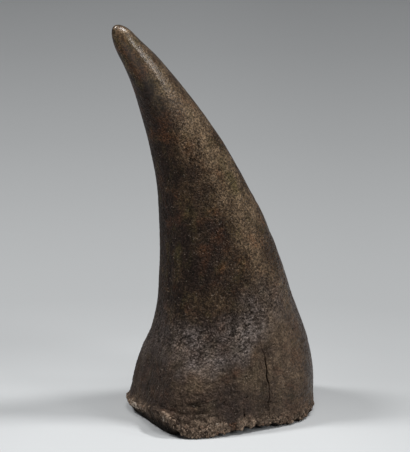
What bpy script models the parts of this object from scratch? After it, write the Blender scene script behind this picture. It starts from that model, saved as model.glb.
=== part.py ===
"""A rhinoceros horn standing on its ragged base: one closed body, skinned over rings.

Metres, +Z up. The horn curves in the XZ plane and its tip leans towards -X, the animal's rear.
The origin is at the centre of the footprint of its bounding box, on the surface that it stands on.
"""

import bisect
import math

import bmesh
import bpy
from mathutils import Vector, noise

MM = 0.001

# The two edges of the side view and the half width across it, at stations from the rim to the tip.
# Each row, in millimetres: back edge x and z, front edge x and z, half width, and how square the
# back of the section is, where 2 is an ellipse and 4 is a rounded rectangle.
STATIONS = [
    (-90, 0, 90, 0, 75, 4.4),
    (-89, 20, 90, 22, 75, 4.2),
    (-86, 43, 89, 49, 73, 3.7),
    (-81, 66, 83, 80, 68, 3.2),
    (-74, 94, 69, 118, 59, 2.7),
    (-69, 143, 50, 173, 51, 2.4),
    (-69, 192, 24, 228, 43, 2.2),
    (-73, 241, -8, 282, 35, 2.1),
    (-84, 290, -43, 331, 28, 2.0),
    (-97, 333, -75, 369, 22, 2.0),
    (-111, 366, -98, 392, 15, 2.0),
    (-128, 394, -115, 411, 11, 2.0),
]
NOSE_START = 10.15  # the station number where the blunt tip begins to round off

COLUMNS = 76
COLLAR_RINGS = 26
SHAFT_RINGS = 24
NOSE_RINGS = 5
COLLAR_END = 4.6  # the station number where the rings become wider apart

# Round the horn, angles run from the front, 0, by the far side, 90, and the back, 180, to the
# near side, 270. Each pair is an angle in degrees and a value in millimetres, or a share of one.
RIM_HEIGHT = [
    (0, 0), (32, 0), (60, 2.5), (84, 2), (98, 0), (124, 0), (136, 4.5), (160, 5.5), (180, 6.5),
    (200, 9.5), (214, 9), (222, 1.5), (226, 0), (238, 0), (252, 2.4), (274, 2.6), (296, 0),
]
LEDGE_HEIGHT = [
    (0, 116), (45, 112), (90, 98), (135, 78), (180, 84), (208, 80), (235, 72), (255, 86),
    (275, 106), (295, 116), (325, 118),
]
LEDGE_SHARE = [
    (0, 0.1), (45, 0.4), (90, 0.9), (135, 0.4), (195, 0.4), (225, 1), (262, 0.95), (300, 0.3),
    (335, 0.1),
]
GROOVE_HEIGHT = [(0, 24), (60, 26), (120, 22), (180, 27), (225, 24), (243, 31), (258, 36), (285, 26)]
EDGE_ROUND = [(0, 3.5), (50, 3), (120, 2), (240, 2), (290, 2.5), (325, 3.5)]
LIP = [(0, 0.8), (60, 1), (110, 2.5), (150, 3.2), (195, 2), (240, 1.2), (300, 0.6)]

LEDGE_DEPTH = 4.0
LEDGE_SLOPE = 26.0  # height over which the collar falls back to the shaft
LIP_HEIGHT = 4.0
LIP_SPREAD = 7.0
GROOVE_DEPTH = 1.6
GROOVE_SPREAD = 2.6

# Drying cracks up the near side: angle at the foot, lean in degrees per millimetre of height,
# lowest and highest point, depth and half width in millimetres.
CRACKS = [
    (277.0, -0.045, 7, 88, 4.5, 1.1),
    (252.5, 0.01, 9, 27, 2.6, 1.0),
]

LAND_WIDTH = 0.17  # share of the radius taken by the flat edge that the horn stands on
DISH_DEPTH = 18.0
DISH_SHAPE = 3.0  # a higher power makes the hollow flatter in the middle and steeper at its edge
DISH_RINGS = 6

ROUGH_BUMP = 1.1
SHAFT_BUMP = 0.7
FLUTE_BUMP = 1.0
RIM_CHIP = 2.2


def clamp(value, low=0.0, high=1.0):
    return max(low, min(high, value))


def ease(value):
    """0 to 1 with a soft start and end."""
    value = clamp(value)
    return value * value * (3 - 2 * value)


def hump(distance, spread):
    """1 at no distance, fading to 0."""
    return math.exp(-((distance / spread) ** 2))


def around(pairs, angle):
    """The value at an angle, easing between the listed ones, all the way round."""
    angle %= 360
    angles = [pair[0] for pair in pairs]
    after = bisect.bisect_right(angles, angle)
    low = pairs[after - 1]
    high = pairs[after % len(pairs)]
    span = (high[0] - low[0]) % 360 or 360
    return low[1] + (high[1] - low[1]) * ease(((angle - low[0]) % 360) / span)


def along(place):
    """The station values at a place between stations, on a smooth curve through all of them."""
    last = len(STATIONS) - 1
    index = min(int(place), last - 1)
    t = place - index
    p1, p2 = STATIONS[index], STATIONS[index + 1]
    p0 = STATIONS[index - 1] if index else [2 * a - b for a, b in zip(p1, p2)]
    p3 = STATIONS[index + 2] if index + 2 <= last else [2 * b - a for a, b in zip(p1, p2)]
    return [
        b + t * ((c - a) / 2 + t * (a - 2.5 * b + 2 * c - d / 2 + t * (1.5 * (b - c) + (d - a) / 2)))
        for a, b, c, d in zip(p0, p1, p2, p3)
    ]


def plain_point(place, angle, share=1.0):
    """A point of the smooth horn in millimetres, and the outward direction of its section there."""
    back_x, back_z, front_x, front_z, half_width, square = along(place)
    rounding = clamp((place - NOSE_START) / (len(STATIONS) - 1 - NOSE_START))
    size = share * math.sqrt(1 - rounding**2)
    turn = math.radians(angle)
    power = 2 + (square - 2) * (1 - math.cos(turn)) / 2
    reach = (abs(math.cos(turn)) ** power + abs(math.sin(turn)) ** power) ** (-1 / power)
    centre = Vector(((back_x + front_x) / 2, 0, (back_z + front_z) / 2))
    forward = Vector(((front_x - back_x) / 2, 0, (front_z - back_z) / 2))
    out = forward * (reach * math.cos(turn)) + Vector((0, half_width * reach * math.sin(turn), 0))
    return centre + out * size, out.normalized()


def ledge_share(point, angle):
    """How far below the collar's top edge a point is, from 0 on the shaft to 1 on the collar."""
    return ease((around(LEDGE_HEIGHT, angle) - point.z) / LEDGE_SLOPE + 0.5)


def relief(point, angle):
    """Millimetres that the surface stands out from the smooth horn at a point."""
    height = point.z
    collar = ledge_share(point, angle)
    on_ledge = 4 * collar * (1 - collar) * around(LEDGE_SHARE, angle)
    out = LEDGE_DEPTH * (collar - 1) * around(LEDGE_SHARE, angle) * hump(height - 90, 60)
    out += around(LIP, angle) * hump(height - LIP_HEIGHT, LIP_SPREAD)
    out -= GROOVE_DEPTH * hump(height - around(GROOVE_HEIGHT, angle), GROOVE_SPREAD)
    out += ROUGH_BUMP * on_ledge * noise.noise(point / 6)
    out += SHAFT_BUMP * noise.noise(point / 34)
    out += FLUTE_BUMP * hump(height, 75) * noise.noise(Vector((angle / 9, height / 80, 5)))
    out += RIM_CHIP * hump(height, 14) * noise.noise(point / 9)
    return out


def crack_angle(crack, height):
    """The angle that a crack has reached at a height, in degrees."""
    foot_angle, lean, _, _, _, _ = crack
    return foot_angle + lean * height + 0.8 * math.sin(height / 5)


def crack_depth(crack, height):
    """Millimetres that a crack is cut in at a height: deep in the middle, nothing at its ends."""
    _, _, low, high, depth, _ = crack
    return depth * math.sqrt(clamp(4 * (height - low) * (high - height) / (high - low) ** 2))


def column_plan():
    """(angle, crack or None, side) for each column: even steps, with three columns at each crack."""
    step = 360 / COLUMNS
    plan = [(step * i, None, 0) for i in range(COLUMNS)]
    for crack in CRACKS:
        plan = [column for column in plan if column[1] or abs(column[0] - crack[0]) > step * 0.7]
        plan += [(crack[0] + side, crack, side) for side in (-1, 0, 1)]
    return sorted(plan, key=lambda column: column[0])


def column_angle(column, height):
    """The angle of a column at a height. Those on a crack, and their neighbours, lean with it."""
    angle, crack, side = column
    if crack:
        half_angle = math.degrees(crack[5] / around([(0, 92), (270, 75)], 270))
        return crack_angle(crack, height) + side * half_angle
    for other in CRACKS:
        near = hump(angle - other[0], 14)
        angle += near * (crack_angle(other, height) - other[0])
    return angle


def side_point(place, column):
    """A point of the finished side, in millimetres."""
    height = plain_point(place, column[0])[0].z
    angle = column_angle(column, min(height, 120))
    point, out = plain_point(place, angle)
    point = point + out * relief(point, angle)
    _, crack, side = column
    if crack and side == 0:
        point = point - out * crack_depth(crack, height)
    lift = around(RIM_HEIGHT, angle) + around(EDGE_ROUND, angle)
    return Vector((point.x, point.y, point.z + lift * (1 - ease(height / 30))))


def rim_height(angle):
    """Height of the underside's outer edge: flat on the contact lands, ragged between them."""
    height = around(RIM_HEIGHT, angle)
    chips = noise.noise(Vector((angle / 4, 0, 0)))
    return height + clamp(height / 2) * 1.4 * chips


def underside_point(share, column):
    """A point of the underside at a share of the radius: the flat land, then the hollow inside it."""
    angle = column_angle(column, 0)
    land = 1 - LAND_WIDTH
    point, out = plain_point(0, angle, share)
    hollow = 1 - (min(share, land) / land) ** DISH_SHAPE
    height = rim_height(angle) * min(1, share / land) ** 3 + DISH_DEPTH * hollow
    if share > land:
        point = point + out * relief(Vector((point.x, point.y, 0)), angle) * 0.5
    return Vector((point.x, point.y, height))


def ring_places():
    """Station numbers of the rings, from the rim to just short of the tip."""
    last = len(STATIONS) - 1
    collar = [COLLAR_END * i / COLLAR_RINGS for i in range(COLLAR_RINGS)]
    shaft = [COLLAR_END + (NOSE_START - COLLAR_END) * i / SHAFT_RINGS for i in range(SHAFT_RINGS)]
    nose = [
        NOSE_START + (last - NOSE_START) * math.sin(math.pi / 2 * i / NOSE_RINGS)
        for i in range(NOSE_RINGS)
    ]
    return collar + shaft + nose


def underside_shares():
    """Shares of the radius of the underside's rings, from its middle outwards."""
    land = 1 - LAND_WIDTH
    hollow = [land * (i + 1) / DISH_RINGS for i in range(DISH_RINGS)]
    return hollow + [1 - LAND_WIDTH / 4]


def horn_rings():
    """Rings of points in millimetres, from the middle of the underside to the tip."""
    columns = column_plan()
    under = [[underside_point(share, c) for c in columns] for share in underside_shares()]
    side = [[side_point(place, c) for c in columns] for place in ring_places()]
    return under + side


def skin(rings, bottom, tip):
    """A closed mesh over the rings, with a fan of triangles at the bottom point and at the tip."""
    mesh = bmesh.new()
    loops = [[mesh.verts.new(point * MM) for point in ring] for ring in rings]
    ends = mesh.verts.new(bottom * MM), mesh.verts.new(tip * MM)
    count = len(rings[0])
    for lower, upper in zip(loops, loops[1:]):
        for i in range(count):
            j = (i + 1) % count
            mesh.faces.new((lower[i], lower[j], upper[j], upper[i]))
    for i in range(count):
        j = (i + 1) % count
        mesh.faces.new((ends[0], loops[0][j], loops[0][i]))
        mesh.faces.new((ends[1], loops[-1][i], loops[-1][j]))
    return mesh


def stand_on_origin(mesh):
    """Moves the mesh so that the middle of its footprint's box is at the origin."""
    low = Vector([min(v.co[axis] for v in mesh.verts) for axis in range(3)])
    high = Vector([max(v.co[axis] for v in mesh.verts) for axis in range(3)])
    shift = Vector(((low.x + high.x) / 2, (low.y + high.y) / 2, low.z))
    bmesh.ops.translate(mesh, vec=-shift, verts=mesh.verts)
    print("moved by", [round(-value / MM, 3) for value in shift], "mm")


def keratin():
    """Dark brown horn with a dull polish."""
    material = bpy.data.materials.new("keratin")
    material.use_nodes = True
    shader = material.node_tree.nodes["Principled BSDF"]
    shader.inputs["Base Color"].default_value = (0.055, 0.040, 0.030, 1)
    shader.inputs["Roughness"].default_value = 0.5
    shader.inputs["Metallic"].default_value = 0
    return material


def build_horn():
    rings = horn_rings()
    bottom = Vector((0, 0, DISH_DEPTH))
    tip = plain_point(len(STATIONS) - 1, 0, 0)[0]
    mesh = skin(rings, bottom, tip)
    bmesh.ops.triangulate(mesh, faces=mesh.faces)
    bmesh.ops.recalc_face_normals(mesh, faces=mesh.faces)
    stand_on_origin(mesh)
    data = bpy.data.meshes.new("horn")
    mesh.to_mesh(data)
    mesh.free()
    data.shade_smooth()
    data.materials.append(keratin())
    horn = bpy.data.objects.new("horn", data)
    bpy.context.scene.collection.objects.link(horn)
    print("horn has", len(data.polygons), "triangles")


def main():
    for old in list(bpy.data.objects):
        bpy.data.objects.remove(old)
    build_horn()


main()
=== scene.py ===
# %% [markdown]
# # A rhinoceros horn, from rough collar to polished tip
#
# A rhinoceros horn is one solid growth of keratin, the stuff of hair and nails, packed in fine upright
# fibres. This lesson takes the plain solid of such a horn and dresses it: a much finer skin of the same
# form carries the wrinkles, pits, cracks and frayed rim, and a procedural material gives it its browns.
# The first cell loads the solid and keeps its box, because the skin has to stay inside it.

# %% Load the solid
import math

import bmesh
import bpy
import numpy as np
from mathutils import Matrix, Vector, noise


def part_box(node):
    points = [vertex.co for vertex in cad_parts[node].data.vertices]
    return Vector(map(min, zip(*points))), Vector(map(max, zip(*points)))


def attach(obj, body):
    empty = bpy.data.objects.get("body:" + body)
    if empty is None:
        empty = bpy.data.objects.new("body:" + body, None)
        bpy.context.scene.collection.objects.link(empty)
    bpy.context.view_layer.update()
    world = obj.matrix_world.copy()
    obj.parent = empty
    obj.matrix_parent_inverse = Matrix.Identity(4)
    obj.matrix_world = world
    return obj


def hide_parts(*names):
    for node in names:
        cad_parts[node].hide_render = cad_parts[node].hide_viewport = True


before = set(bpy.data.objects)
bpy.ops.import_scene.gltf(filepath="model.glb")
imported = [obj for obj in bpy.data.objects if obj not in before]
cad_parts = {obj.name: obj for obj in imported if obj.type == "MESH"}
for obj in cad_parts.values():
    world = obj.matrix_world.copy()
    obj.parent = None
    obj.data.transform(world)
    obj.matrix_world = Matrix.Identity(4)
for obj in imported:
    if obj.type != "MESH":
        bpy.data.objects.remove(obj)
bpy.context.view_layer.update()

MM = 0.001
LOW, HIGH = (np.array(corner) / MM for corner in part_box("horn"))
print("solid box in mm:", LOW.round(1), HIGH.round(1))

# %% [markdown]
# ## The side view, station by station
#
# The real horn bends in one plane. A sculptor would draw its side view first, and the same is done here:
# each station gives the back edge, the front edge and the half width across them, in millimetres, from
# the rim to the tip. A smooth curve through the stations gives any section in between. Sections are
# superellipses, squarer at the back of the base, where the real horn has two soft corners.

# %% Stations of the side view
STATIONS = np.array([
    (-90, 0, 90, 0, 75, 4.4),
    (-89, 20, 90, 22, 75, 4.2),
    (-86, 43, 89, 49, 73, 3.7),
    (-81, 66, 83, 80, 68, 3.2),
    (-74, 94, 69, 118, 59, 2.7),
    (-69, 143, 50, 173, 51, 2.4),
    (-69, 192, 24, 228, 43, 2.2),
    (-73, 241, -8, 282, 35, 2.1),
    (-84, 290, -43, 331, 28, 2.0),
    (-97, 333, -75, 369, 22, 2.0),
    (-111, 366, -98, 392, 15, 2.0),
    (-128, 394, -115, 411, 11, 2.0),
], float)
LAST = len(STATIONS) - 1
NOSE_START = 10.15
FOOTPRINT_SHIFT = np.array([15.45, -0.27, 0.0])  # to the solid's origin, the middle of its footprint


def ease(value):
    value = np.clip(value, 0, 1)
    return value * value * (3 - 2 * value)


def hump(distance, spread):
    return np.exp(-((distance / spread) ** 2))


def around(pairs, angle):
    """Eases between (angle, value) pairs, all the way round. Each list starts at angle 0."""
    angle = np.mod(angle, 360)
    marks = np.array([pair[0] for pair in pairs] + [360.0])
    values = np.array([pair[1] for pair in pairs] + [pairs[0][1]], float)
    after = np.clip(np.searchsorted(marks, angle, side="right"), 1, len(marks) - 1)
    share = (angle - marks[after - 1]) / (marks[after] - marks[after - 1])
    return values[after - 1] + (values[after] - values[after - 1]) * ease(share)


def along(place):
    """Station values at places between stations, on a smooth curve through all of them."""
    index = np.minimum(place.astype(int), LAST - 1)
    t = (place - index)[..., None]
    ends = np.concatenate([[2 * STATIONS[0] - STATIONS[1]], STATIONS, [2 * STATIONS[-1] - STATIONS[-2]]])
    a, b, c, d = ends[index], ends[index + 1], ends[index + 2], ends[index + 3]
    return b + t * ((c - a) / 2 + t * (a - 2.5 * b + 2 * c - d / 2 + t * (1.5 * (b - c) + (d - a) / 2)))


def smooth_horn(place, angle, share=1.0):
    """Points of the smooth horn in millimetres and the outward direction of their section."""
    back_x, back_z, front_x, front_z, half_width, square = np.moveaxis(along(place), -1, 0)
    size = share * np.sqrt(1 - np.clip((place - NOSE_START) / (LAST - NOSE_START), 0, 1) ** 2)
    turn = np.radians(angle)
    power = 2 + (square - 2) * (1 - np.cos(turn)) / 2
    reach = (np.abs(np.cos(turn)) ** power + np.abs(np.sin(turn)) ** power) ** (-1 / power)
    forward, side = reach * np.cos(turn), reach * np.sin(turn)
    half_length, half_rise = (front_x - back_x) / 2, (front_z - back_z) / 2
    out = np.stack([half_length * forward, half_width * side, half_rise * forward], -1)
    centre = np.stack([(back_x + front_x) / 2, 0 * place, (back_z + front_z) / 2], -1)
    return centre + out * size[..., None], out / np.linalg.norm(out, axis=-1, keepdims=True)


print("stations:", len(STATIONS), "from", STATIONS[0, 1], "to", STATIONS[-1, 3], "mm high")

# %% [markdown]
# ## Where things are, round the horn
#
# Angles run from the front of the horn, 0, by its far side to the back, 180, and the near side, 270.
# The rim is lifted off the ground in places, a ledge marks where the skin once met the horn, and drying
# cracks climb the near side. Short lists of angles and millimetres are easier to read and to change
# than a painted map, and the same lists shape the solid.

# %% Rim, ledge, groove and cracks
RIM_HEIGHT = [
    (0, 0), (32, 0), (60, 2.5), (84, 2), (98, 0), (124, 0), (136, 4.5), (160, 5.5), (180, 6.5),
    (200, 9.5), (214, 9), (222, 1.5), (226, 0), (238, 0), (252, 2.4), (274, 2.6), (296, 0),
]
LEDGE_HEIGHT = [
    (0, 116), (45, 112), (90, 98), (135, 78), (180, 84), (208, 80), (235, 72), (255, 86),
    (275, 106), (295, 116), (325, 118),
]
LEDGE_SHARE = [
    (0, 0.1), (45, 0.4), (90, 0.9), (135, 0.4), (195, 0.4), (225, 1), (262, 0.95), (300, 0.3),
    (335, 0.1),
]
GROOVE_HEIGHT = [(0, 24), (60, 26), (120, 22), (180, 27), (225, 24), (243, 31), (258, 36), (285, 26)]
GROOVE_SHARE = [
    (0, 0.5), (60, 0.7), (130, 0.5), (165, 0.15), (192, 0.1), (208, 0.6), (228, 1), (300, 0.8),
    (330, 0.4),
]
GROOVE_DEPTH, GROOVE_HALF_WIDTH = 1.6, 2.6
EDGE_ROUND = [(0, 3.5), (50, 3), (120, 2), (240, 2), (290, 2.5), (325, 3.5)]
LIP = [(0, 0.8), (60, 1), (110, 2.5), (150, 3.2), (195, 2), (240, 1.2), (300, 0.6)]
LEDGE_DEPTH = 4.0
LEDGE_SLOPE = 26.0

# Angle at the foot, lean per millimetre of height, lowest, widest and highest point, depth, half width.
CRACKS = [
    (277.0, -0.030, 6, 58, 92, 3.2, 0.60),
    (258.0, 0.01, 5, 17, 32, 2.4, 0.50),
]
HAIR_CRACKS = [
    (268.0, 0.02, 10, 20, 34, 1.0, 0.4),
    (196.0, 0.01, 12, 30, 52, 1.2, 0.4),
    (150.0, -0.02, 8, 30, 60, 1.4, 0.5),
    (96.0, 0.03, 8, 30, 74, 2.2, 0.6),
    (71.0, -0.02, 10, 25, 48, 1.4, 0.5),
    (24.0, 0.02, 8, 30, 55, 1.6, 0.6),
    (318.0, -0.01, 9, 15, 30, 0.8, 0.4),
]


def crack_angle(crack, height):
    return crack[0] + crack[1] * height + 0.35 * np.sin(height / 5) + 0.25 * np.sin(height / 2.3)


print("cracks:", len(CRACKS), "deep and", len(HAIR_CRACKS), "fine")

# %% [markdown]
# ## A grid fine enough for wrinkles
#
# A wrinkle needs a few grid cells, or it turns to mush. A subdivision modifier would refine every part
# alike. Planning the grid puts rings close together on the collar and further apart on the smooth
# shaft. More of the columns go to the near side, which has the deepest wrinkles, and to the two deep
# cracks, whose lines they follow, so that the cracks stay sharp.

# %% Plan the rings and columns
COLLAR_END = 4.6
COLUMNS = 300
CROWDING = 14
SPARSE_ANGLE = 65  # columns are furthest apart here and closest together opposite, at 245 degrees
CRACK_STEPS = np.array([-2.2, -1.4, -0.85, -0.5, -0.3, -0.14, 0, 0.14, 0.3, 0.5, 0.85, 1.4, 2.2])
CRACK_PULL = 14  # degrees to each side in which the columns bend along with a crack

columns = np.arange(COLUMNS) * 360 / COLUMNS
columns = (columns + CROWDING * np.sin(np.radians(columns - SPARSE_ANGLE))) % 360
for crack in CRACKS:
    columns = columns[np.abs(columns - crack[0]) > CRACK_STEPS[-1] + 0.6]
    columns = np.concatenate([columns, crack[0] + CRACK_STEPS])
columns = np.sort(columns)
nose_steps = np.sin(np.linspace(0, math.pi / 2, 15)[:-1])
places = np.concatenate([
    np.linspace(0, COLLAR_END, 156)[:-1],
    np.linspace(COLLAR_END, NOSE_START, 102)[:-1],
    NOSE_START + (LAST - NOSE_START) * nose_steps,
])
place, column = np.meshgrid(places, columns, indexing="ij")
height = smooth_horn(place, column)[0][..., 2]
angle = column.copy()
for crack in CRACKS:
    shift = crack_angle(crack, np.minimum(height, 120)) - crack[0]
    angle += hump(column - crack[0], CRACK_PULL) * shift
skin, out = smooth_horn(place, angle)
height = skin[..., 2]
print("rings", len(places), "columns", len(columns), "points", place.size)

# %% [markdown]
# ## Noise to shape with
#
# Horn has no repeats: its lumps, wrinkles and pits are all chance, but of known sizes. Blender's
# gradient noise, sampled at the points of the skin, gives such chance shapes. Sampling it in space and
# not on an unrolled sheet means there is no seam. Stretching the space first gives fibres or wrinkles.

# %% Noise sampled on the skin
def chance(points, size, offset=0.0):
    """Noise between about -1 and 1 at points in millimetres, with features of about the given size."""
    stretched = (points / np.asarray(size, float) + offset).reshape(-1, 3)
    values = [noise.noise(point) for point in stretched.tolist()]
    return np.array(values).reshape(points.shape[:-1])


def crests(points, size, offset=0.0):
    """Noise folded into sharp crests, from 0 in the hollows to 1 on the crests."""
    return 1 - np.minimum(1, 2.6 * np.abs(chance(points, size, offset)))


WRINKLE_LEAN = 0.42  # rise per millimetre to the right, seen from the near side
leaning = skin.copy()
leaning[..., 2] -= WRINKLE_LEAN * (0.89 * skin[..., 0] - 0.45 * skin[..., 1])
sample = chance(skin, 6)
print("chance at 6 mm:", sample.min().round(2), "to", sample.max().round(2))

# %% [markdown]
# ## Masks: which skin is where
#
# Four kinds of surface meet on the horn: the shaft, rubbed smooth towards the tip; the wrinkled band
# on the ledge; the swollen collar; and the rim, where the fibres fray. Each gets a mask from 0 to 1.
# The masks steer both the relief and, stored on the mesh, the colours. A little noise on their edges
# keeps them from looking drawn with a compass. Three more masks only serve the material: the gloss of
# the rubbed side near the tip, the dull back, and the front, lighter partly from wear and partly as
# painted light on the side that faces the lamps on the right.

# %% Masks
wander = chance(skin, 22, 3.1)
small_wander = chance(skin, 7, 8.4)
ledge_height = around(LEDGE_HEIGHT, angle)
collar = ease((ledge_height - height) / LEDGE_SLOPE + 0.5)
BAND_SHARE = [
    (0, 0.15), (45, 0.4), (90, 0.9), (135, 0.75), (180, 0.5), (203, 0.62), (224, 0.95), (262, 1.15),
    (288, 0.85), (310, 0.35),
]
BAND_BELOW, BAND_ABOVE = 19.0, 38.0
above_ledge = height - ledge_height + 9 * wander + 3 * small_wander
fading_up = 1 - ease(above_ledge / BAND_ABOVE - 0.25)
fading_down = 1 - ease(-above_ledge / BAND_BELOW - 0.25)
band_wear = (0.72 + 0.5 * chance(skin, 26, 6.6) + 0.4 * chance(skin, 11, 2.4)).clip(0.25, 1)
band = np.where(above_ledge > 0, fading_up, fading_down) * around(BAND_SHARE, angle) * band_wear
RIM_REACH = [
    (0, 9), (60, 8), (140, 3), (180, 2), (202, 1), (210, 8), (215, 7), (219, 4), (226, 12),
    (240, 11), (250, 6), (300, 8),
]
RIM_FADE = 13.0
rim_top = around(RIM_HEIGHT, angle) * 0.6 + around(RIM_REACH, angle) - 9 * small_wander - 8 * wander
rim = 1 - ease((height - rim_top) / RIM_FADE)
POLISH_START, POLISH_LENGTH = 230, 150
polish = ease((height - POLISH_START) / POLISH_LENGTH)


def facing(direction):
    """1 on the side of the horn that faces an angle, -1 on the opposite side."""
    return np.cos(np.radians(angle - direction))


GLOSS_START, GLOSS_LENGTH, GLOSS_ANGLE = 285, 100, 315
DULL_ANGLE = 190
FRONT_ANGLE = 335
gloss = ease((height - GLOSS_START) / GLOSS_LENGTH) * ease((facing(GLOSS_ANGLE) + 0.2) / 0.7)
dull = ease((facing(DULL_ANGLE) - 0.3) / 0.5)
# front: lighter colour, partly wear and partly painted light on the side towards the lamps on the right
front = ease(0.5 + 0.5 * facing(FRONT_ANGLE))
print("band covers", (band > 0.5).mean().round(3), "of the points, rim", (rim > 0.5).mean().round(3))

# %% [markdown]
# ## The large relief, as on the solid
#
# The ledge, the lip at the rim, the shallow groove above it and the broad lumps are on the plain solid
# too. They are worked out again here from the same lists, so that the fine skin lies on the solid.

# %% Large relief
def solid_relief(points, turn):
    level = points[..., 2]
    on_collar = ease((around(LEDGE_HEIGHT, turn) - level) / LEDGE_SLOPE + 0.5)
    share = around(LEDGE_SHARE, turn)
    lift = LEDGE_DEPTH * (on_collar - 1) * share * hump(level - 90, 60)
    lift = lift + around(LIP, turn) * hump(level - 4, 7)
    broken = 0.3 + 0.7 * ease(0.5 + 2 * chance(points, 9, 5.5))
    groove = hump(level - around(GROOVE_HEIGHT, turn), GROOVE_HALF_WIDTH)
    lift = lift - GROOVE_DEPTH * around(GROOVE_SHARE, turn) * broken * groove
    lift = lift + 1.1 * 4 * on_collar * (1 - on_collar) * share * chance(points, 6)
    lift = lift + 0.7 * chance(points, 34)
    fluted = np.stack([turn / 9, level / 80, 5 + 0 * turn], -1)
    return lift + 1.0 * hump(level, 75) * chance(fluted, 1)


large = solid_relief(skin, angle)
print("large relief in mm:", large.min().round(1), "to", large.max().round(1))

# %% [markdown]
# ## Wrinkles, fibres and pits
#
# The band on the ledge looks like elephant hide: short crests a few millimetres apart that lean up to
# the right. Folded noise in a leaning, flattened space gives just that. The collar shows upright
# fibres, so its noise is stretched tall. The shaft is only finely pitted, less and less to the tip.

# %% Fine relief
wrinkles = crests(leaning, (5.2, 5.2, 2.2), 1.7) - 0.5
pebbles = crests(skin, 3.0, 5.3) - 0.5
fibres = chance(skin, (3.4, 3.4, 42), 2.2)
broad_fibres = chance(skin, (8, 8, 90), 6.1)
dents = np.minimum(0, chance(skin, 9, 7.7) + 0.28)
fine = band * (1.05 * wrinkles + 0.55 * pebbles)
fine = fine + collar * (1 - band) * (0.10 * fibres + 0.4 * broad_fibres + 0.35 * pebbles)
fine = fine + (1 - collar) * (1 - polish) * (0.08 * fibres + 0.30 * pebbles + 0.40 * broad_fibres)
fine = fine + (1 - polish) * 1.1 * dents
fine = fine + polish * 0.12 * pebbles

PITS = 150
PIT_DEPTH = 0.8
rng = np.random.default_rng(41)
pit_rings = rng.integers(20, len(places) - 60, PITS)
pit_columns = rng.integers(0, len(columns), PITS)
pitted = np.zeros_like(height)
for pit_ring, pit_column, pit_size in zip(pit_rings, pit_columns, rng.uniform(0.8, 2.0, PITS)):
    centre = skin[pit_ring, pit_column]
    rows = slice(max(pit_ring - 8, 0), pit_ring + 9)
    distance = np.linalg.norm((skin[rows] - centre) * (1, 1, 0.7), axis=-1)
    pitted[rows] = np.maximum(pitted[rows], hump(distance, pit_size))
fine = fine - PIT_DEPTH * pitted
print("fine relief in mm:", fine.min().round(2), "to", fine.max().round(2), "with", PITS, "pits")

# %% [markdown]
# ## Cracks
#
# Keratin shrinks as it dries and splits along its fibres. Each crack is a narrow cut whose width comes
# and goes, deepest in the middle of its length. Cutting with a boolean would leave ragged triangles;
# pushing in the crowded columns keeps the grid whole.

# %% Cut the cracks
cut = np.zeros_like(height)
crack_shade = np.zeros_like(height)
radius = np.hypot(skin[..., 0] - skin[..., 0].mean(axis=1, keepdims=True), skin[..., 1])
for crack in CRACKS + HAIR_CRACKS:
    _, _, low, widest, high, depth, half_width = crack
    inside = ease((height - low) / 5) * ease((high - height) / 12)
    swell = hump(height - widest, (high - low) / 6)
    width = half_width * (0.30 + 0.70 * swell + 0.25 * np.sin(height / 1.7) * np.sin(height / 4.3))
    distance = np.abs(angle - crack_angle(crack, height)) * np.pi / 180 * radius
    here = hump(distance, np.maximum(width, 0.18)) * inside
    cut = np.maximum(cut, depth * (0.45 + 0.55 * swell) * here)
    # painted shade inside the crack, darkest where it is widest
    shade_in_crack = here ** 1.3 * (0.55 + 0.45 * swell) * depth / 2.4
    crack_shade = np.maximum(crack_shade, np.minimum(1, shade_in_crack))
print("deepest crack", cut.max().round(1), "mm")

# %% [markdown]
# ## Short cuts across the fibres
#
# Just above the rim, short cuts run sideways too. Noise flattened into thin layers gives lines where it
# passes through zero. A list of places lets them through only where the real horn has them, and the
# same kind of list places the patches of colour further on.

# %% Short cuts across the fibres
# Each place: angle, height, reach round and up in millimetres, strength.
SHORT_CUT_PLACES = [
    (228, 33, 13, 5, 1.0), (241, 35, 13, 5, 1.0), (234, 23, 12, 4, 0.9), (260, 23, 14, 3, 0.45),
    (284, 22, 24, 3, 0.45), (272, 13, 16, 3, 0.35), (160, 20, 14, 4, 0.4), (100, 24, 30, 4, 0.5),
    (30, 25, 24, 4, 0.5),
]
# depth of the short cuts and the painted shade inside them
SHORT_CUT_DEPTH, SHORT_CUT_SHADE = 1.4, 0.6
LEAST_RADIUS = 12  # so that places near the tip stay narrower than the tip


def blend(places):
    """Soft patches of 0 to 1 at the places of a list, on all points of the skin."""
    total = 0 * height
    for patch_angle, patch_level, reach_round, reach_up, strength in places:
        gap = np.radians(np.mod(angle - patch_angle + 180, 360) - 180) * np.maximum(radius, LEAST_RADIUS)
        here = strength * hump(gap, reach_round) * hump(height - patch_level, reach_up)
        total = total + here * (1 - total)
    return total


across = np.abs(chance(skin, (20, 20, 3.6), 14.8))
strokes = blend(SHORT_CUT_PLACES) * ease(0.75 + 2.5 * chance(skin, 6, 3.9)) * ease(1.4 - across / 0.14)
cut = np.maximum(cut, SHORT_CUT_DEPTH * strokes)
crack_shade = np.maximum(crack_shade, SHORT_CUT_SHADE * strokes)
print("short cuts cover", (strokes > 0.3).mean().round(4), "of the points")

# %% [markdown]
# ## The ragged rim
#
# The horn was cut and broken from the skull, so its foot is crumbly and frayed. The lowest rings are
# roughened most, and their edge is nibbled upwards from the solid's edge, never below it. At the back
# of the near side more of the edge is broken away, and what is left of it stands out further.

# %% Fray the rim
def nibble(turn):
    """Millimetres that the rim's edge is broken away upwards at an angle."""
    ring_point = np.stack([np.cos(np.radians(turn)) * 80, np.sin(np.radians(turn)) * 80, 0 * turn], -1)
    coarse = np.maximum(0, chance(ring_point, 7, 4.4))
    small = np.maximum(0, chance(ring_point, 2.6, 9.9))
    return 5.0 * coarse + 2.6 * small


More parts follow.
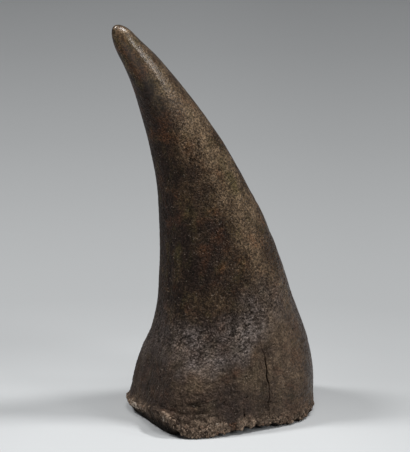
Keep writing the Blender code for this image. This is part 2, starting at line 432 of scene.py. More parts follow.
crumbs = chance(skin, 4.2, 1.1)
crumble = rim * (1.1 * crumbs + 0.7 * chance(skin, (2.8, 2.8, 9), 3.7) - 0.35)
BASE_SPREAD = [
    (0, 0), (138, 0), (152, 0.4), (168, 0.5), (180, 1.4), (190, 4.2), (201, 7.4), (211, 6.2),
    (221, 2.2), (230, 0), (300, 0),
]
RAISED_MORE = [
    (0, 0), (135, 0), (152, 0.6), (168, 2.8), (182, 5.4), (190, 7.6), (197, 9.2), (206, 9.6),
    (212, 8.4), (217, 4.6), (222, 0.8), (228, 0), (240, 0.2), (252, 1.4), (268, 1.2), (282, 0.2),
    (300, 0),
]
SPREAD_TOP, LIFT_TOP, NIBBLE_TOP = 45, 30, 9  # heights at which each change to the edge has died out
spread = around(BASE_SPREAD, angle) * (1 - ease(height / SPREAD_TOP))
lift = around(RIM_HEIGHT, angle) + around(EDGE_ROUND, angle) + around(RAISED_MORE, angle)
lift = lift * (1 - ease(height / LIFT_TOP)) + nibble(angle) * (1 - ease(height / NIBBLE_TOP))
surface = skin + out * (large + fine + crumble + spread - cut)[..., None]
surface[..., 2] += lift
print("rim nibbled by up to", nibble(columns).max().round(1), "mm")

# %% [markdown]
# ## The hollow underneath
#
# The horn grew on a domed boss of bone, so its underside is a shallow bowl inside a flat land that it
# stands on. The bowl shows the ends of the fibres as fine pores. Behind the edge that is broken away at
# the back left, a core reaches down to the floor; the whole underside is painted dark as shade, so the
# core stands in for the shadow under the raised edge and makes the dark wedge seen there.

# %% Underside rings
LAND_SHARE = 0.17
LAND_START = 1 - LAND_SHARE
DISH_DEPTH, DISH_SHAPE = 18.0, 3.0
# where a core reaches down to the floor under the raised rim, standing in for the shadow there
CORE = [(0, 0), (138, 0), (150, 0.9), (186, 1), (215, 1), (223, 0), (300, 0)]
CORE_CLEARANCE = 0.4

land_shares = [1 - LAND_SHARE * 0.62, 1 - LAND_SHARE / 4]
shares = np.concatenate([np.linspace(0, LAND_START, 13)[1:], land_shares])
share, under_column = np.meshgrid(shares, columns, indexing="ij")
under, under_out = smooth_horn(0 * share, under_column, share)
bowl = 1 - (np.minimum(share, LAND_START) / LAND_START) ** DISH_SHAPE
edge = np.minimum(1, share / LAND_START) ** 3
raised = around(RIM_HEIGHT, under_column) + around(RAISED_MORE, under_column)
pores = np.abs(chance(under, 2.8, 4.2)) + 0.6 * np.abs(chance(under, 9, 2.9))
under_height = raised * edge + DISH_DEPTH * bowl
under_height = under_height + (0.3 + 1.6 * (share < LAND_START)) * pores
under_height = under_height + nibble(under_column) * ease((share - 0.8) / 0.16) * 0.8
core = around(CORE, under_column) * ease((share - 0.72) / 0.1)
under_height = under_height + (CORE_CLEARANCE - under_height) * core
under[..., 2] = under_height
outer = share > LAND_START
under = under + under_out * (outer * 0.5 * solid_relief(under * (1, 1, 0), under_column))[..., None]
under = under + under_out * (outer * 0.8 * (1 - core) * around(BASE_SPREAD, under_column))[..., None]
print("underside rings", len(shares), "highest", under_height.max().round(1), "mm")

# %% [markdown]
# ## Skin the rings
#
# Rings and columns become one closed mesh of quads with a fan at the bottom and at the tip. Making it
# from arrays is quick even for this many faces. The masks go on as attributes that the material reads.

# %% Make the horn's mesh
tip = smooth_horn(np.array([float(LAST)]), np.array([0.0]), 0.0)[0]
middle = np.array([[0.0, 0.0, DISH_DEPTH]])
rings = np.concatenate([under, surface])
ring_count, column_count = rings.shape[:2]
points = np.concatenate([rings.reshape(-1, 3), middle, tip]) + FOOTPRINT_SHIFT
points = np.clip(points, LOW, HIGH)
grid = np.arange(ring_count * column_count).reshape(ring_count, column_count)
next_column = np.roll(grid, -1, axis=1)
quads = np.stack([grid[:-1], next_column[:-1], next_column[1:], grid[1:]], -1).reshape(-1, 4)
bottom_fan = np.stack([np.full(column_count, grid.size), next_column[0], grid[0]], -1)
tip_fan = np.stack([np.full(column_count, grid.size + 1), grid[-1], next_column[-1]], -1)


def skin_mesh(name, corners, faces):
    mesh = bpy.data.meshes.new(name)
    mesh.from_pydata((corners * MM).tolist(), [], faces)
    mesh.validate()
    mesh.shade_smooth()
    piece = bpy.data.objects.new(name, mesh)
    bpy.context.scene.collection.objects.link(piece)
    return piece


horn_skin = skin_mesh("horn_skin", points, quads.tolist() + bottom_fan.tolist() + tip_fan.tolist())
triangles = 2 * len(quads) + 2 * column_count
print("horn_skin has", len(points), "points and", triangles, "triangles")

# %% [markdown]
# ## Masks on the mesh
#
# Crests get painted light and hollows get painted shade. How far the fine relief stands out tells which
# is which, so it is stored too, next to the masks. Five lists name the places where the real horn is
# tan, rusty, olive, dark or raw. Painting them by hand would give sharper edges, but a list is easy to
# change, and noise in the material breaks up its soft patches.

# %% Places of each colour
# Each place: angle, height, reach round and up in millimetres, strength.
TAN_PLACES = [
    (272, 386, 10, 14, 1.0), (258, 402, 14, 14, 1.0), (236, 388, 7, 14, 0.8), (215, 398, 8, 12, 0.8),
    (268, 362, 9, 16, 0.7), (276, 338, 12, 22, 0.9), (290, 305, 16, 32, 1.0), (240, 345, 6, 12, 0.35),
    (300, 262, 16, 26, 0.8), (299, 225, 15, 30, 1.0), (290, 190, 12, 18, 0.7),
    (286, 150, 16, 22, 0.4), (315, 120, 14, 34, 0.6), (262, 99, 9, 8, 1.0), (228, 61, 17, 16, 0.85),
    (265, 79, 8, 9, 0.95), (296, 56, 16, 20, 0.35), (240, 128, 11, 11, 0.7), (249, 280, 11, 13, 0.45),
    (231, 32, 6, 6, 0.6), (296, 32, 8, 12, 0.5), (244, 48, 9, 10, 0.25), (265, 52, 8, 12, 0.5),
    (209, 67, 10, 9, 0.85), (163, 27, 14, 12, 0.5), (217, 45, 8, 12, 0.4), (262, 300, 8, 24, 0.4),
    (275, 245, 8, 30, 0.45), (236, 24, 14, 7, 0.5), (190, 60, 10, 14, 0.35), (282, 62, 9, 26, 0.75),
    (292, 98, 16, 20, 0.95), (215, 84, 9, 10, 0.5), (234, 77, 8, 9, 0.6), (292, 62, 14, 14, 0.3),
    (292, 188, 9, 16, 0.4), (240, 285, 12, 16, 0.55), (310, 255, 10, 26, 0.6),
    (218, 318, 6, 14, 0.35), (236, 230, 10, 16, 0.35), (60, 70, 30, 26, 0.6), (20, 140, 30, 70, 0.5),
    (30, 300, 24, 60, 0.6), (110, 200, 20, 50, 0.4),
]
RUST_PLACES = [
    (240, 297, 14, 15, 0.7), (252, 166, 6, 9, 0.8), (284, 168, 9, 10, 0.4), (306, 78, 16, 20, 0.15),
    (208, 19, 4, 4, 0.8), (236, 178, 6, 10, 0.6), (222, 245, 8, 14, 0.4), (244, 380, 16, 34, 0.6),
    (296, 10, 22, 9, 0.6), (227, 60, 14, 10, 0.35), (40, 60, 30, 30, 0.6), (130, 130, 20, 40, 0.5),
]
OLIVE_PLACES = [
    (203, 175, 9, 16, 0.7), (268, 56, 9, 14, 0.45), (240, 226, 12, 18, 0.5), (300, 250, 12, 30, 0.5),
    (215, 130, 10, 14, 0.4), (262, 384, 16, 30, 0.45), (236, 365, 9, 24, 0.15),
    (80, 120, 24, 40, 0.5),
]
DARK_PLACES = [
    (262, 275, 8, 12, 0.35), (256, 202, 10, 14, 0.6), (225, 160, 16, 16, 0.6),
    (265, 138, 11, 17, 0.9), (185, 300, 20, 90, 0.9), (218, 356, 8, 24, 1.0), (205, 320, 12, 40, 0.5),
    (180, 180, 18, 80, 0.6), (246, 77, 9, 10, 0.6), (247, 40, 8, 14, 0.2), (232, 205, 16, 24, 0.5),
    (279, 127, 7, 13, 0.45), (220, 98, 9, 10, 0.5), (262, 72, 6, 8, 0.6), (262, 15, 6, 6, 0.8),
    (190, 70, 14, 14, 0.5), (280, 34, 16, 8, 0.3), (249, 19, 6, 9, 0.9),
]
RAW_PLACES = [
    (236.5, 3, 3.5, 3.5, 1.0), (246, 5, 4, 3, 0.7), (266, 6, 6, 4, 0.3), (280, 8, 12, 5, 0.8),
    (228, 12, 10, 8, 1.0), (236, 14, 9, 6, 0.7), (211, 6, 4, 4, 0.9), (159, 9, 5, 4, 1.0),
    (170, 10, 9, 5, 0.5), (238, 22, 6, 5, 0.4), (300, 10, 8, 5, 0.3), (60, 8, 20, 5, 0.6),
    (110, 8, 14, 4, 0.6), (20, 8, 12, 4, 0.5),
]
# How raw the broken edge is, by angle.
RAW_SHARE = [
    (0, 0.35), (60, 0.5), (110, 0.6), (150, 0.6), (160, 0.9), (172, 0.85), (184, 0.6), (192, 0.15),
    (200, 0.2), (206, 0.2), (210, 0.75), (215, 0.62), (219, 0.3), (224, 0.6), (234, 0.6), (243, 0.75),
    (250, 0.2), (256, 0.6), (268, 0.35), (284, 0.5), (300, 0.3), (325, 0.3),
]
print("places:", len(TAN_PLACES + RUST_PLACES + OLIVE_PLACES + DARK_PLACES + RAW_PLACES))


# %% Store the masks
def store(name, side_values, under_value):
    """One number per point: the underside, the side, the middle of the bowl and the tip."""
    below = np.full(under.shape[0] * under.shape[1], under_value)
    values = np.concatenate([below, side_values.ravel(), [under_value], side_values[-1, :1]])
    attribute = horn_skin.data.attributes.new(name, "FLOAT", "POINT")
    attribute.data.foreach_set("value", values.astype(np.float32))


raw = np.maximum(rim * around(RAW_SHARE, angle + 5 * small_wander), blend(RAW_PLACES))
store("band", band, 0.0)
store("rim", rim, 1.0)
store("raw", raw, 0.5)
# painted shade of the cracks and short cuts; the underside gets some too
store("crack", crack_shade, 0.55)
# how far the fine relief stands out; the material paints light on its crests and shade in its hollows
store("relief", np.clip(0.5 + 0.42 * (fine + 0.4 * crumble), 0, 1), 0.4)
store("polish", polish, 0.0)
store("light", blend(TAN_PLACES), 0.0)
store("rust", blend(RUST_PLACES), 0.2)
store("olive", blend(OLIVE_PLACES), 0.0)
store("dusk", blend(DARK_PLACES), 0.3)
store("gloss", gloss, 0.0)
store("dull", dull, 1.0)
store("front", front, 0.3)
store("collar", collar, 1.0)
# the underside, which the material paints dark as shade
store("under", 0 * height, 1.0)
print("stored", len(horn_skin.data.attributes), "attributes")

# %% [markdown]
# ## The material
#
# Old horn is a dark brown, near black in the hollows, with warm tan where light gets into it. Its colour
# changes in patches of a few centimetres, in streaks along the fibres and in specks of a millimetre.
# A picture could hold all that for one side only. Noise textures in space hold it for every side, and
# the stored masks say where each kind of surface is. A few small helpers keep the node tree readable,
# since every look is then one line of what is mixed with what.

# %% Helpers for node trees
class Tree:
    """Short ways to add nodes to one material."""

    def __init__(self, name):
        self.material = bpy.data.materials.new(name)
        self.material.use_nodes = True
        self.nodes = self.material.node_tree.nodes
        self.links = self.material.node_tree.links
        self.shader = self.nodes["Principled BSDF"]
        self.space = self.nodes.new("ShaderNodeTexCoord").outputs["Object"]

    def feed(self, socket, value):
        if isinstance(value, bpy.types.NodeSocket):
            self.links.new(value, socket)
        else:
            socket.default_value = value

    def mask(self, name):
        node = self.nodes.new("ShaderNodeAttribute")
        node.attribute_name = name
        return node.outputs["Fac"]

    def math(self, operation, first, second=0.5, third=0.0):
        node = self.nodes.new("ShaderNodeMath")
        node.operation = operation
        for socket, value in zip(node.inputs, (first, second, third)):
            self.feed(socket, value)
        return node.outputs[0]

    def stretch(self, x, y, z):
        node = self.nodes.new("ShaderNodeVectorMath")
        node.operation = "MULTIPLY"
        self.links.new(self.space, node.inputs[0])
        node.inputs[1].default_value = (x, y, z)
        return node.outputs[0]

    def cloud(self, scale, detail=3.0, rough=0.55, space=None, warp=0.0):
        node = self.nodes.new("ShaderNodeTexNoise")
        self.links.new(space or self.space, node.inputs["Vector"])
        node.inputs["Scale"].default_value = scale
        node.inputs["Detail"].default_value = detail
        node.inputs["Roughness"].default_value = rough
        node.inputs["Distortion"].default_value = warp
        return node.outputs["Fac"]

    def toward(self, direction):
        """How far a point lies in a direction, in metres."""
        node = self.nodes.new("ShaderNodeVectorMath")
        node.operation = "DOT_PRODUCT"
        self.links.new(self.space, node.inputs[0])
        node.inputs[1].default_value = direction
        return node.outputs["Value"]

    def cells(self, scale):
        node = self.nodes.new("ShaderNodeTexVoronoi")
        self.links.new(self.space, node.inputs["Vector"])
        node.inputs["Scale"].default_value = scale
        return node.outputs["Distance"]

    def span(self, value, low, high, to_low=0.0, to_high=1.0):
        node = self.nodes.new("ShaderNodeMapRange")
        node.interpolation_type = "SMOOTHSTEP"
        for socket, number in zip(node.inputs, (value, low, high, to_low, to_high)):
            self.feed(socket, number)
        return node.outputs[0]

    def mix(self, share, first, second, way="MIX"):
        node = self.nodes.new("ShaderNodeMix")
        node.data_type = "RGBA"
        node.blend_type = way
        self.feed(node.inputs["Factor"], share)
        self.feed(node.inputs[6], first)
        self.feed(node.inputs[7], second)
        return node.outputs[2]

    def ramp(self, value, stops):
        """Greys by position. The first two stops are the ends 0 and 1, which a new ramp has already."""
        node = self.nodes.new("ShaderNodeValToRGB")
        self.links.new(value, node.inputs[0])
        present = node.color_ramp.elements
        for number, (position, grey) in enumerate(stops):
            stop = present[number] if number < 2 else present.new(position)
            stop.position, stop.color = position, (grey, grey, grey, 1)
        return node.outputs[0]

    def bump(self, value, distance, strength=1.0, over=None):
        node = self.nodes.new("ShaderNodeBump")
        self.feed(node.inputs["Height"], value)
        node.inputs["Distance"].default_value = distance
        self.feed(node.inputs["Strength"], strength)
        if over is not None:
            self.links.new(over, node.inputs["Normal"])
        return node.outputs[0]


print("helpers ready")

# %% [markdown]
# ## Mixing the browns
#
# The colours are layered as the real ones are: the dark body of the horn first, then the warmer and
# lighter patches, the greyer umber of the collar, the greyish bloom on the wrinkled band with painted
# highlights on its crests, the raw tan of the frayed rim, and last painted shade in cracks, hollows and
# pits and the tiny bright specks of painted glint.

# %% Colour of the horn
DARK = (0.0170, 0.0098, 0.0080, 1)
BROWN = (0.050, 0.0305, 0.0175, 1)
TAN = (0.155, 0.106, 0.064, 1)
RUST = (0.105, 0.042, 0.018, 1)
OLIVE = (0.070, 0.055, 0.022, 1)
UMBER = (0.062, 0.047, 0.041, 1)
# greyish bloom of the band, also the colour of the painted highlights on its crests
BLOOM_AND_HIGHLIGHT = (0.175, 0.147, 0.135, 1)
RAW = (0.265, 0.190, 0.135, 1)
BONE_WHITE = (0.52, 0.43, 0.35, 1)

horn = Tree("horn_keratin_finish")
tall = horn.stretch(1, 1, 0.09)
patches = horn.cloud(26, 4, 0.6, warp=0.4)
blotches = horn.cloud(90, 3, 0.55)
streaks = horn.cloud(420, 3, 0.6, tall)
grit = horn.cloud(240, 1.5, 0.5)
grain = horn.cloud(460, 1.5, 0.55)
fine_grain = horn.cloud(900, 1, 0.5)

brownness = horn.math("MULTIPLY_ADD", patches, 0.62, horn.math("MULTIPLY", blotches, 0.38))
# the front made lighter: partly wear, partly painted light
brownness = horn.math("MULTIPLY_ADD", horn.mask("front"), 0.14, brownness)
brownness = horn.math("MULTIPLY_ADD", horn.mask("light"), 0.26, brownness)
brownness = horn.math("MULTIPLY_ADD", horn.mask("dusk"), -0.16, brownness)
colour = horn.mix(horn.span(brownness, 0.44, 0.70), DARK, BROWN)
colour = horn.mix(horn.span(brownness, 0.62, 0.92), colour, TAN)
rusty = horn.math("MULTIPLY_ADD", horn.mask("rust"), 0.40, horn.cloud(60, 3, 0.5))
colour = horn.mix(horn.span(rusty, 0.50, 0.95, 0, 0.8), colour, RUST)
moss_cloud = horn.cloud(80, 3, 0.5, horn.stretch(1, 1.3, 0.7))
mossy = horn.math("MULTIPLY_ADD", horn.mask("olive"), 0.40, moss_cloud)
colour = horn.mix(horn.span(mossy, 0.50, 0.95, 0, 0.8), colour, OLIVE)
colour = horn.mix(horn.math("MULTIPLY", horn.mask("collar"), 0.38), colour, UMBER)
streaky = horn.span(streaks, 0.38, 0.66, 0.92, 1.08)
coarse_part = horn.span(grain, 0.36, 0.64, 0.50, 1.5)
fine_part = horn.span(fine_grain, 0.36, 0.64, 0.58, 1.45)
gritty = horn.math("MULTIPLY", coarse_part, fine_part)
collar_softness = horn.span(horn.mask("collar"), 0.0, 1.0, 1.0, 0.6)
softer = horn.math("MULTIPLY_ADD", horn.mask("gloss"), -0.15, collar_softness)
gritty = horn.math("MULTIPLY_ADD", horn.math("SUBTRACT", gritty, 1.0), softer, 1.0)
print("base colours mixed:", len(horn.nodes), "nodes")

# %% [markdown]
# ## Band, rim, cracks and specks
#
# The masks now bring in what differs from place to place, painted shade in hollows, cracks and on the
# underside among them. Multiplying by the grain after them keeps the whole surface from looking
# airbrushed. Bright specks of painted glint and dark pits of painted shade come last.

# %% Colour by place
# painted highlight: the crests of the band take the bloom colour most
bloom_and_crest_highlight = horn.span(horn.mask("relief"), 0.30, 0.88, 0.42, 0.80)
bloom_and_highlight_share = horn.math("MULTIPLY_ADD", horn.mask("light"), 0.45, bloom_and_crest_highlight)
band_share = horn.math("MULTIPLY", horn.mask("band"), bloom_and_highlight_share)
colour = horn.mix(band_share, colour, BLOOM_AND_HIGHLIGHT)
raw_flecks = horn.span(horn.cloud(130, 4, 0.7), 0.40, 0.62, 0.10, 1.0)
colour = horn.mix(horn.math("MULTIPLY", horn.mask("raw"), raw_flecks), colour, RAW)
shade = horn.math("MULTIPLY", streaky, gritty)
# painted shade in the hollows of the fine relief, painted light on its crests
shade = horn.math("MULTIPLY", shade, horn.span(horn.mask("relief"), 0.1, 0.8, 0.42, 1.35))
# painted shade in the cracks and short cuts
shade = horn.math("MULTIPLY", shade, horn.span(horn.mask("crack"), 0.05, 0.7, 1.0, 0.08))
# painted shade: the underside is made nearly black
shade = horn.math("MULTIPLY", shade, horn.span(horn.mask("under"), 0.1, 0.8, 1.0, 0.10))
colour = horn.mix(1.0, colour, shade, "MULTIPLY")
# painted glints: tiny bright specks where broken fibre ends catch the light, fewer on the front
glint_speck = horn.span(horn.cells(420), 0.14, 0.32, 1, 0)
glint_speck = horn.math("MULTIPLY", glint_speck, horn.span(horn.cloud(230, 2), 0.52, 0.64))
glint_speck = horn.math("MULTIPLY", glint_speck, horn.math("MULTIPLY_ADD", horn.mask("front"), -0.16, 0.34))
colour = horn.mix(glint_speck, colour, BONE_WHITE)
# painted shade in small pits; the same pattern dents the bumps further on
pit = horn.span(horn.cells(310), 0.10, 0.32, 1, 0)
pit_cloud = horn.cloud(160, 2, space=horn.stretch(1, 1, 0.8))
pit = horn.math("MULTIPLY", pit, horn.span(pit_cloud, 0.48, 0.60))
colour = horn.mix(horn.math("MULTIPLY", pit, 0.8), colour, DARK)
horn.links.new(colour, horn.shader.inputs["Base Color"])
print("horn colour:", len(horn.nodes), "nodes")

# %% [markdown]
# ## Sheen and touch
#
# Handling polishes a horn. The worn side near the tip gets a clear coat, whose gentle bumps break up
# its highlight, over a body that shines in a warm, faint way. The back and the frayed rim are dull.
# Bumps too small for the grid do the rest: leaning wrinkles on the band, grain, grit and pits.

# %% Roughness, coat and bumps
roughness = horn.span(horn.mask("polish"), 0.0, 1.0, 0.27, 0.17)
roughness = horn.math("MULTIPLY_ADD", horn.mask("collar"), 0.06, roughness)
roughness = horn.math("MULTIPLY_ADD", horn.mask("rim"), 0.25, roughness)
roughness = horn.math("MULTIPLY_ADD", horn.mask("dull"), 0.34, roughness)
roughness = horn.math("MULTIPLY_ADD", patches, 0.20, horn.math("SUBTRACT", roughness, 0.08))
horn.links.new(roughness, horn.shader.inputs["Roughness"])
SPECULAR_TINT = (1.0, 0.80, 0.64, 1)
horn.shader.inputs["IOR"].default_value = 1.5
horn.shader.inputs["Specular IOR Level"].default_value = 0.20
horn.shader.inputs["Specular Tint"].default_value = SPECULAR_TINT
horn.shader.inputs["Coat Roughness"].default_value = 0.29
horn.links.new(horn.mask("gloss"), horn.shader.inputs["Coat Weight"])

calm = horn.span(horn.mask("polish"), 0.4, 1.0, 1.0, 0.26)
LEANING_UP = (-0.374, 0.189, 1)  # the same lean as that of the wrinkles in the grid
leaned = horn.nodes.new("ShaderNodeCombineXYZ")
for number, direction in enumerate([(1, 0, 0), (0, 1, 0)]):
    horn.links.new(horn.toward(direction), leaned.inputs[number])
horn.links.new(horn.math("MULTIPLY", horn.toward(LEANING_UP), 1.8), leaned.inputs[2])
hide = horn.cloud(330, 3, 0.65, leaned.outputs[0], warp=0.6)
normal = horn.bump(hide, 0.0050, horn.math("MULTIPLY", horn.mask("band"), 0.8))
normal = horn.bump(streaks, 0.0010, horn.math("MULTIPLY", calm, 0.15), normal)
rough_grain = horn.math("MULTIPLY", calm, softer)
normal = horn.bump(grit, 0.0036, horn.math("MULTIPLY", calm, 0.8), normal)
normal = horn.bump(grain, 0.0036, horn.math("MULTIPLY", rough_grain, 0.9), normal)
normal = horn.bump(pit, -0.0009, horn.math("MULTIPLY", calm, 0.7), normal)
horn.links.new(normal, horn.shader.inputs["Normal"])
glaze = horn.bump(grain, 0.0036, horn.math("MULTIPLY", calm, 0.45))
horn.links.new(glaze, horn.shader.inputs["Coat Normal"])
horn_skin.data.materials.append(horn.material)
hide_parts("horn")
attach(horn_skin, "root")
print("horn material:", len(horn.nodes), "nodes")

# %% [markdown]
# ## Crumbs and frayed fibres
#
# Where the rim broke, crumbs of raw horn cling to it and single fibres stick out. They are far too
# small for the grid, so they are meshes of their own. Every fibre is a thin tapered prism that follows
# the skin down to the broken edge. They gather in tufts as on the real rim.

# %% Frayed fibres
RIM_TUFTS = [  # angle, spread in degrees, number
    (212, 2.4, 70), (184, 5, 24), (219, 3, 12), (230, 7, 40), (243, 4, 40), (258, 5, 40), (275, 7, 30),
    (298, 8, 50), (60, 30, 90), (120, 25, 70), (150, 10, 20), (0, 30, 60),
]
rng = np.random.default_rng(7)


def scattered(groups):
    return np.concatenate([rng.normal(mark, spread, number) for mark, spread, number in groups]) % 360


turns = scattered(RIM_TUFTS)
fibre_column = np.searchsorted(columns, turns) % len(columns)
starts = rng.uniform(2, 11, len(turns)) * (0.4 + 0.6 * around(RAW_SHARE, turns))


def on_skin(values, ring, column):
    low = np.clip(ring.astype(int), 0, len(places) - 2)
    share = np.clip(ring - low, 0, 1)[..., None]
    return values[low, column] * (1 - share) + values[low + 1, column] * share


STEPS = 6
along_fibre = np.linspace(0, 1, STEPS)
reach = rng.uniform(0.5, 1.0, len(turns))[:, None]
ring = starts[:, None] * (1 - reach * along_fibre)
column_grid = np.repeat(fibre_column[:, None], STEPS, axis=1)
spine = on_skin(surface, ring, column_grid)
away = on_skin(out, ring, column_grid)
curl = rng.uniform(-0.3, 0.7, len(turns))[:, None] * along_fibre ** 2
spine = spine + away * (0.12 + curl)[..., None]
spine[..., :2] += rng.normal(0, 0.5, (len(turns), 1, 2)) * along_fibre[None, :, None]
floor_level = around(RIM_HEIGHT, turns)[:, None]
hang = rng.uniform(0, 2.6, len(turns))[:, None] * ease((along_fibre - 0.4) / 0.6) * (reach > 0.9)
spine[..., 2] = np.maximum(spine[..., 2] - hang, np.minimum(spine[..., 2], floor_level + 0.3))
thick = rng.uniform(0.22, 0.5, len(turns))[:, None] * (1 - 0.75 * along_fibre)
corner_turn = np.array([0, 2.1, 4.2])
sideways = np.stack([-away[..., 1], away[..., 0], 0 * away[..., 0]], -1)
tube = spine[:, :, None] + thick[..., None, None] * (
    np.cos(corner_turn)[:, None] * away[:, :, None] + np.sin(corner_turn)[:, None] * sideways[:, :, None]
)
print(len(turns), "fibres")

# %% [markdown]
# ## Crumbs and teeth
#
# Every crumb is a ball, dented by chance and pressed into the skin by half its radius. Most sit close to
# the edge, so their rings are drawn with a power that favours low numbers. The first few crumbs are
# stretched into teeth that hang from the broken edge.

# %% Crumbs
CRUMB_DENTS, CRUMB_SINK = 0.30, 0.5
ball = bmesh.new()
bmesh.ops.create_icosphere(ball, subdivisions=2, radius=1)
ball_points = np.array([vertex.co for vertex in ball.verts])
ball_faces = np.array([[vertex.index for vertex in face.verts] for face in ball.faces])
ball.free()
RIM_CRUMBS = [  # angle, spread in degrees, number
    (159, 4, 60), (172, 8, 30), (182, 4, 30), (212.5, 2.2, 36), (220, 4, 20), (231, 7, 50),
    (243, 4, 60), (258, 6, 70), (282, 9, 60), (300, 8, 90), (50, 30, 60), (120, 25, 70), (150, 10, 20),
]
crumb_turns = scattered(RIM_CRUMBS)
crumb_column = np.searchsorted(columns, crumb_turns) % len(columns)
crumb_ring = rng.uniform(0, 1, len(crumb_turns)) ** 1.6 * (5 + 1.6 * around(RIM_REACH, crumb_turns))
crumb_size = rng.uniform(0.6, 2.0, len(crumb_turns))
crumb_out = on_skin(out, crumb_ring, crumb_column)
crumb_spot = on_skin(surface, crumb_ring, crumb_column) - crumb_out * CRUMB_SINK * crumb_size[:, None]
dents = rng.normal(0, 1, (len(crumb_turns), len(ball_points), 1)).clip(-1.4, 1.4)
dented = ball_points * (1 + CRUMB_DENTS * dents)
dented = dented * rng.uniform(0.6, 1.15, (len(crumb_turns), 1, 3)) * crumb_size[:, None, None]
TEETH = [  # angle, half width and half length of each
    (208.2, 1.0, 2.4), (210.6, 1.2, 3.2), (213.0, 0.9, 2.2), (215.2, 1.0, 2.8), (217.6, 0.8, 1.8),
    (222.5, 0.9, 1.2),
]
for number, (tooth_turn, tooth_width, tooth_length) in enumerate(TEETH):
    crumb_turns[number] = tooth_turn
    crumb_column[number] = np.searchsorted(columns, tooth_turn)
    crumb_spot[number] = surface[1, crumb_column[number]] - (0, 0, 0.5 * tooth_length)
    dented[number] = dented[number] / crumb_size[number] * (tooth_width, tooth_width, tooth_length)
crumb_points = crumb_spot[:, None] + dented
print(len(crumb_turns), "crumbs")

# %% [markdown]
# ## One mesh of fibres, one of crumbs
#
# Hundreds of objects would be slow to handle. Joined into one mesh each, with a number for every fibre
# or crumb stored as its tone, they stay light and still differ in colour.

# %% Join them
def joined(name, groups, faces, tones):
    count, size = groups.shape[:2]
    corners = np.clip(groups.reshape(-1, 3) + FOOTPRINT_SHIFT, LOW + 0.05, HIGH - 0.05)
    all_faces = (np.arange(count)[:, None, None] * size + faces[None]).reshape(-1, faces.shape[-1])
    piece = skin_mesh(name, corners, all_faces.tolist())
    attribute = piece.data.attributes.new("tone", "FLOAT", "POINT")
    attribute.data.foreach_set("value", np.repeat(tones, size).astype(np.float32))
    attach(piece, "root")
    print(name, "has", len(all_faces), "faces")
    return piece


prism = np.array([
    (low + corner, low + (corner + 1) % 3, low + 3 + (corner + 1) % 3, low + 3 + corner)
    for low in range(0, 3 * (STEPS - 1), 3) for corner in range(3)
])
fibre_tones = np.clip(around(RAW_SHARE, turns) + rng.normal(0, 0.22, len(turns)), 0, 1)
crumb_tones = around(RAW_SHARE, crumb_turns) + rng.normal(0, 0.2, len(crumb_turns))
# pale crumbs at the back corner, made paler still as a painted highlight
PALE_HIGHLIT_ANGLE = 163  # the crumbs at the back corner are nearly white
crumb_tones = np.clip(crumb_tones + 0.4 * hump(crumb_turns - PALE_HIGHLIT_ANGLE, 4), 0, 1.2)
rim_fibres = joined("rim_fibres", tube.reshape(len(turns), STEPS * 3, 3), prism, fibre_tones)
rim_crumbs = joined("rim_crumbs", crumb_points, ball_faces, crumb_tones)

# %% [markdown]
# ## The colour of torn keratin
#
# Inside, keratin is paler and duller than the weathered skin. Each fibre's or crumb's own tone picks a
# place between the brown of the skin, raw tan and bone white, and a little rust is mixed in.

# %% Colour of fibres and crumbs
frayed = Tree("frayed_keratin")
tone = frayed.mask("tone")
shade = frayed.span(frayed.cloud(380, 2), 0.35, 0.65, 0.65, 1.25)
raw_colour = frayed.mix(frayed.span(tone, 0.15, 0.6), BROWN, RAW)
raw_colour = frayed.mix(frayed.span(tone, 0.90, 1.15), raw_colour, BONE_WHITE)
raw_colour = frayed.mix(frayed.span(frayed.cloud(110, 2), 0.52, 0.68, 0, 0.5), raw_colour, RUST)
raw_colour = frayed.mix(1.0, raw_colour, shade, "MULTIPLY")
frayed.links.new(raw_colour, frayed.shader.inputs["Base Color"])
frayed.shader.inputs["Roughness"].default_value = 0.7
frayed.shader.inputs["Specular IOR Level"].default_value = 0.3
rim_fibres.data.materials.append(frayed.material)
rim_crumbs.data.materials.append(frayed.material)
print("frayed material:", len(frayed.nodes), "nodes")

# %% [markdown]
# ## The floor
#
# The horn stands on a plain pale sheet that runs on into the background. Behind the horn the sheet is
# lit less and less, and more so on the right. Lights alone would need flags and screens for that, so
# the falloff is painted into the paper's tone: a ramp over the distance from a painted pool of light in
# front of the horn, times a second, weaker ramp of painted shade behind it on the right. Far off the
# ramp rises again, painted lighter where less light reaches the sheet.

# %% Floor
FLOOR_RADIUS, FLOOR_SIDES = 9.0, 96


def floor_disc():
    turns = np.linspace(0, 2 * math.pi, FLOOR_SIDES + 1)[:-1]
    corners = np.stack([np.cos(turns), np.sin(turns), 0 * turns], -1) * FLOOR_RADIUS
    return skin_mesh("floor", corners / MM, [list(range(FLOOR_SIDES))])


floor = floor_disc()
paper = Tree("floor_paper")
# centre of the painted pool of light
POOL_CENTRE = (-0.10, -0.12, 0)  # the paper is lightest just in front of the horn
offset = paper.nodes.new("ShaderNodeVectorMath")
offset.operation = "DISTANCE"
paper.links.new(paper.space, offset.inputs[0])
offset.inputs[1].default_value = POOL_CENTRE
PAPER_REACH = 4.0
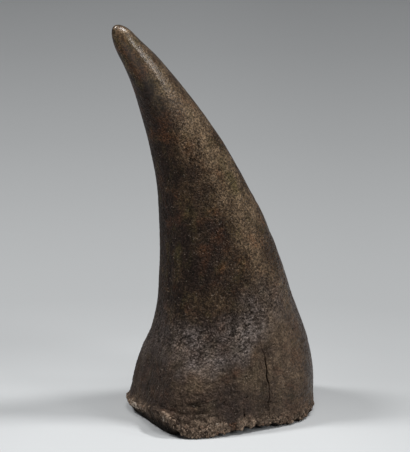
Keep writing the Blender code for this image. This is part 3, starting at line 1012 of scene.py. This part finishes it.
# painted falloff of the light on the paper
PAINTED_FALLOFF_TONES = [  # share of the reach and grey
    (0.0, 0.665), (1.0, 0.83), (0.04, 0.655), (0.07, 0.595), (0.107, 0.51), (0.145, 0.484), (0.28, 0.519),
    (0.375, 0.556), (0.47, 0.615), (0.59, 0.70), (0.74, 0.83),
]
PAPER_TINT = (0.976, 1.0, 1.012, 1)
distance = paper.math("DIVIDE", offset.outputs["Value"], PAPER_REACH)
toned = paper.mix(1.0, paper.ramp(distance, PAINTED_FALLOFF_TONES), PAPER_TINT, "MULTIPLY")
RIGHTWARD_ON_FLOOR, BACKWARD_ON_FLOOR = (0.891, -0.454, 0), (0.454, 0.891, 0)
DIMMEST = 0.83
to_the_right = paper.span(paper.toward(RIGHTWARD_ON_FLOOR), -0.10, 0.22)
to_the_back = paper.span(paper.toward(BACKWARD_ON_FLOOR), -0.07, 0.12)
# painted shade on the paper behind the horn on the right
painted_shade_right = paper.math("MULTIPLY", to_the_right, to_the_back)
painted_shade_right = paper.math("MULTIPLY", painted_shade_right, paper.span(distance, 0.06, 0.115, 1.0, 0.38))
toned = paper.mix(1.0, toned, paper.ramp(painted_shade_right, [(0.0, 1.0), (1.0, DIMMEST)]), "MULTIPLY")
paper.links.new(toned, paper.shader.inputs["Base Color"])
paper.shader.inputs["Roughness"].default_value = 0.75
paper.shader.inputs["Specular IOR Level"].default_value = 0.2
floor.data.materials.append(paper.material)
print("floor radius", FLOOR_RADIUS, "m")

# %% [markdown]
# ## The camera
#
# The lens is long and stands well back, because the two sides of the base run almost parallel in the
# picture. It looks down a little, and aims beside the middle of the horn, which leaves more floor on
# the side to which the tip leans.

# %% Camera
AZIMUTH, ELEVATION, DISTANCE = math.radians(-27), math.radians(14), 2.2
TARGET = Vector((0.0155, 0, 0.2))
AIM_LEFT, AIM_DOWN = 0.0216, 0.0068
FOCAL_LENGTH = 175.2
toward_camera = Vector((
    math.sin(AZIMUTH) * math.cos(ELEVATION), -math.cos(AZIMUTH) * math.cos(ELEVATION), math.sin(ELEVATION)
))
rightward = Vector((math.cos(AZIMUTH), math.sin(AZIMUTH), 0))
upward = toward_camera.cross(rightward)
aim = TARGET - rightward * AIM_LEFT - upward * AIM_DOWN
lens = bpy.data.cameras.new("camera")
lens.lens = FOCAL_LENGTH
lens.sensor_width = 36
lens.clip_end = 100
camera = bpy.data.objects.new("camera", lens)
camera.location = TARGET + toward_camera * DISTANCE
camera.rotation_euler = (aim - camera.location).to_track_quat("-Z", "Y").to_euler()
bpy.context.scene.collection.objects.link(camera)
bpy.context.scene.camera = camera
print("camera at", [round(value, 3) for value in camera.location])

# %% [markdown]
# ## The lights
#
# One softbox hangs overhead. Two small ones high at the sides throw the two short shadows, whose edges
# are only a little soft. A low one in front on the right brings out the wrinkles of the flank, and a
# narrow strip beside it draws the sheen down the tip.


# %% Lights
def softbox(name, right, up, front, size, power):
    """An area light placed as seen from the camera, aimed at the middle of the horn."""
    light_data = bpy.data.lights.new(name, "AREA")
    light_data.shape = "RECTANGLE"
    light_data.size, light_data.size_y = size
    light_data.energy = power
    lamp = bpy.data.objects.new(name, light_data)
    level_front = Vector((toward_camera.x, toward_camera.y, 0)).normalized()
    lamp.location = TARGET + rightward * right + level_front * front + Vector((0, 0, up))
    lamp.rotation_euler = (TARGET - lamp.location).to_track_quat("-Z", "Y").to_euler()
    bpy.context.scene.collection.objects.link(lamp)


SOFTBOXES = [  # name, right, up and front in metres, size, watts
    ("softbox_over", 0.0, 2.4, 0.9, (0.8, 0.8), 16),
    ("softbox_right", 1.05, 2.45, 0.22, (0.38, 0.40), 34),
    ("softbox_left", -1.27, 1.91, 0.16, (0.24, 0.50), 27),
    ("softbox_front", 1.45, 0.80, 1.20, (0.45, 0.65), 9),
    ("softbox_glint", 1.72, 1.07, 0.37, (0.10, 0.50), 3),
]
for settings in SOFTBOXES:
    softbox(*settings)
STUDIO_AIR, STUDIO_STRENGTH = (0.72, 0.73, 0.75, 1), 0.12
world = bpy.data.worlds.new("studio")
world.use_nodes = True
world.node_tree.nodes["Background"].inputs["Color"].default_value = STUDIO_AIR
world.node_tree.nodes["Background"].inputs["Strength"].default_value = STUDIO_STRENGTH
bpy.context.scene.world = world
bpy.context.scene.view_settings.view_transform = "Standard"
